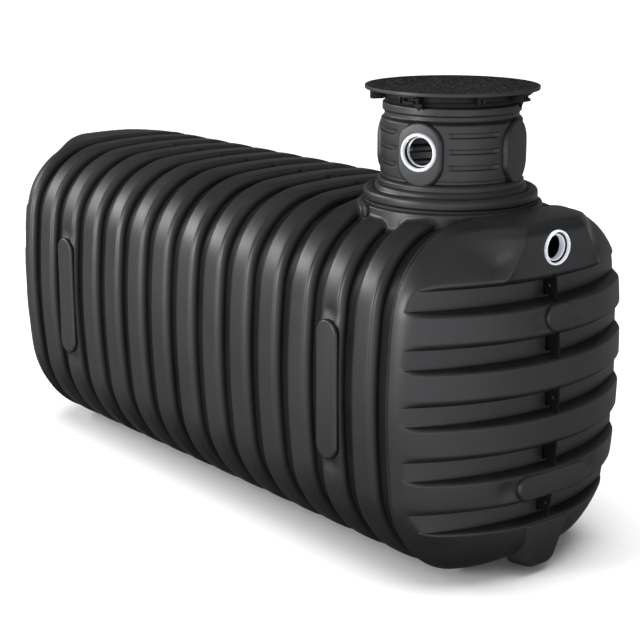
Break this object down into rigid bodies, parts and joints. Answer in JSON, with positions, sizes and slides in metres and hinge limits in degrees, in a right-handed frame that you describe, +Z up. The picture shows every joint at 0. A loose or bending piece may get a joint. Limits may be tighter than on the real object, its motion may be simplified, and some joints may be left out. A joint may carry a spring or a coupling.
{
  "type": "underground storage tank",
  "caption": "Horizontal ribbed black plastic tank for burying, with banded ends, a manway turret with a round flat lid, and pale pipe seals.",
  "frame": {"origin": "on the floor under the middle of the barrel", "axes": "+Z up, +X along the barrel towards the end that carries the turret, +Y across"},
  "size_m": [3.8178, 1.432, 2.195],
  "materials": {
    "barrel": "satin black moulded polyethylene",
    "turret": "satin black moulded polyethylene",
    "lid": "stippled black plastic",
    "seal": "pale grey lip seal",
    "gasket": "black rubber"
  },
  "bodies": {
    "root": {"barrel_floor": "barrel", "barrel_roof": "barrel", "left_side": "barrel", "left_bottom_corner_low": "barrel", "left_bottom_corner_high": "barrel", "left_top_corner_low": "barrel", "left_top_corner_high": "barrel", "right_side": "barrel", "right_bottom_corner_low": "barrel", "right_bottom_corner_high": "barrel", "right_top_corner_low": "barrel", "right_top_corner_high": "barrel", "side_pads": "barrel", "front_end": "barrel", "rear_end": "barrel", "front_end_webs": "barrel", "rear_end_webs": "barrel", "ridge_webs": "barrel", "manway_neck": "barrel", "turret_flange": "turret", "turret_shell": "turret", "turret_rim": "turret", "lid_plate": "lid", "lid_frame": "lid", "lid_brackets": "lid", "lid_lugs": "lid", "lid_latches": "lid", "front_pipe_seal": "seal", "rear_pipe_seal": "seal", "turret_pipe_seal": "seal", "neck_gasket": "gasket"}
  },
  "joints": []
}
